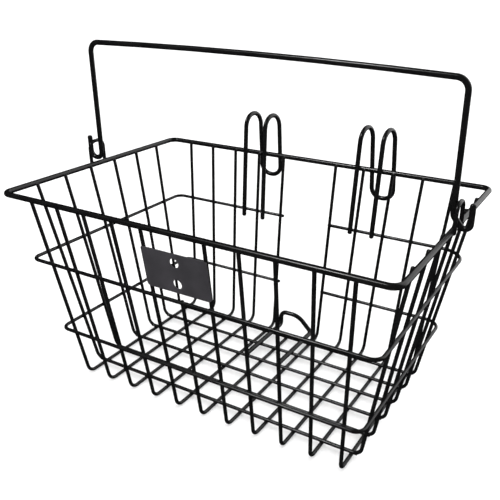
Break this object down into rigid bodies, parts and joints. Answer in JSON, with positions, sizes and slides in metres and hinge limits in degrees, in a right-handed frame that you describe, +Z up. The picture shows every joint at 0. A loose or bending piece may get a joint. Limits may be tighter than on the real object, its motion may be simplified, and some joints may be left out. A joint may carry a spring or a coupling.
{
  "type": "bicycle handlebar basket",
  "caption": "Black wire handlebar basket with rear hooks that hang over the handlebar, a swinging carry handle and a front plate for a lamp.",
  "frame": {"origin": "middle of the floor, on the underside of the floor wires", "axes": "+X along the basket's length, to the right seen from the plate side; +Y back to the handlebar; +Z up"},
  "size_m": [0.3728, 0.2607, 0.2939],
  "materials": {
    "black_wire": "black semi-gloss powder coat over steel wire",
    "black_plate": "dark satin powder coat over steel sheet"
  },
  "bodies": {
    "basket": {"rim": "black_wire", "ring_upper": "black_wire", "ring_lower": "black_wire", "u_wire_01": "black_wire", "u_wire_02": "black_wire", "u_wire_03": "black_wire", "u_wire_04": "black_wire", "u_wire_05": "black_wire", "u_wire_06": "black_wire", "u_wire_07": "black_wire", "u_wire_08": "black_wire", "u_wire_09": "black_wire", "u_wire_10": "black_wire", "u_wire_11": "black_wire", "side_wire_1": "black_wire", "side_wire_2": "black_wire", "side_wire_3": "black_wire", "side_wire_4": "black_wire", "side_wire_5": "black_wire", "side_wire_6": "black_wire", "hook_left": "black_wire", "hook_right": "black_wire", "head_tube_loop": "black_wire", "eye_left": "black_wire", "eye_right": "black_wire", "front_plate": "black_plate"},
    "carry_handle": {"handle": "black_wire"}
  },
  "joints": [
    {"name": "handle_swing", "type": "hinge", "parent": "basket", "child": "carry_handle", "pos_m": [0, 0, 0.1844], "axis": [1, 0, 0], "range_deg": [-79, 90]}
  ]
}
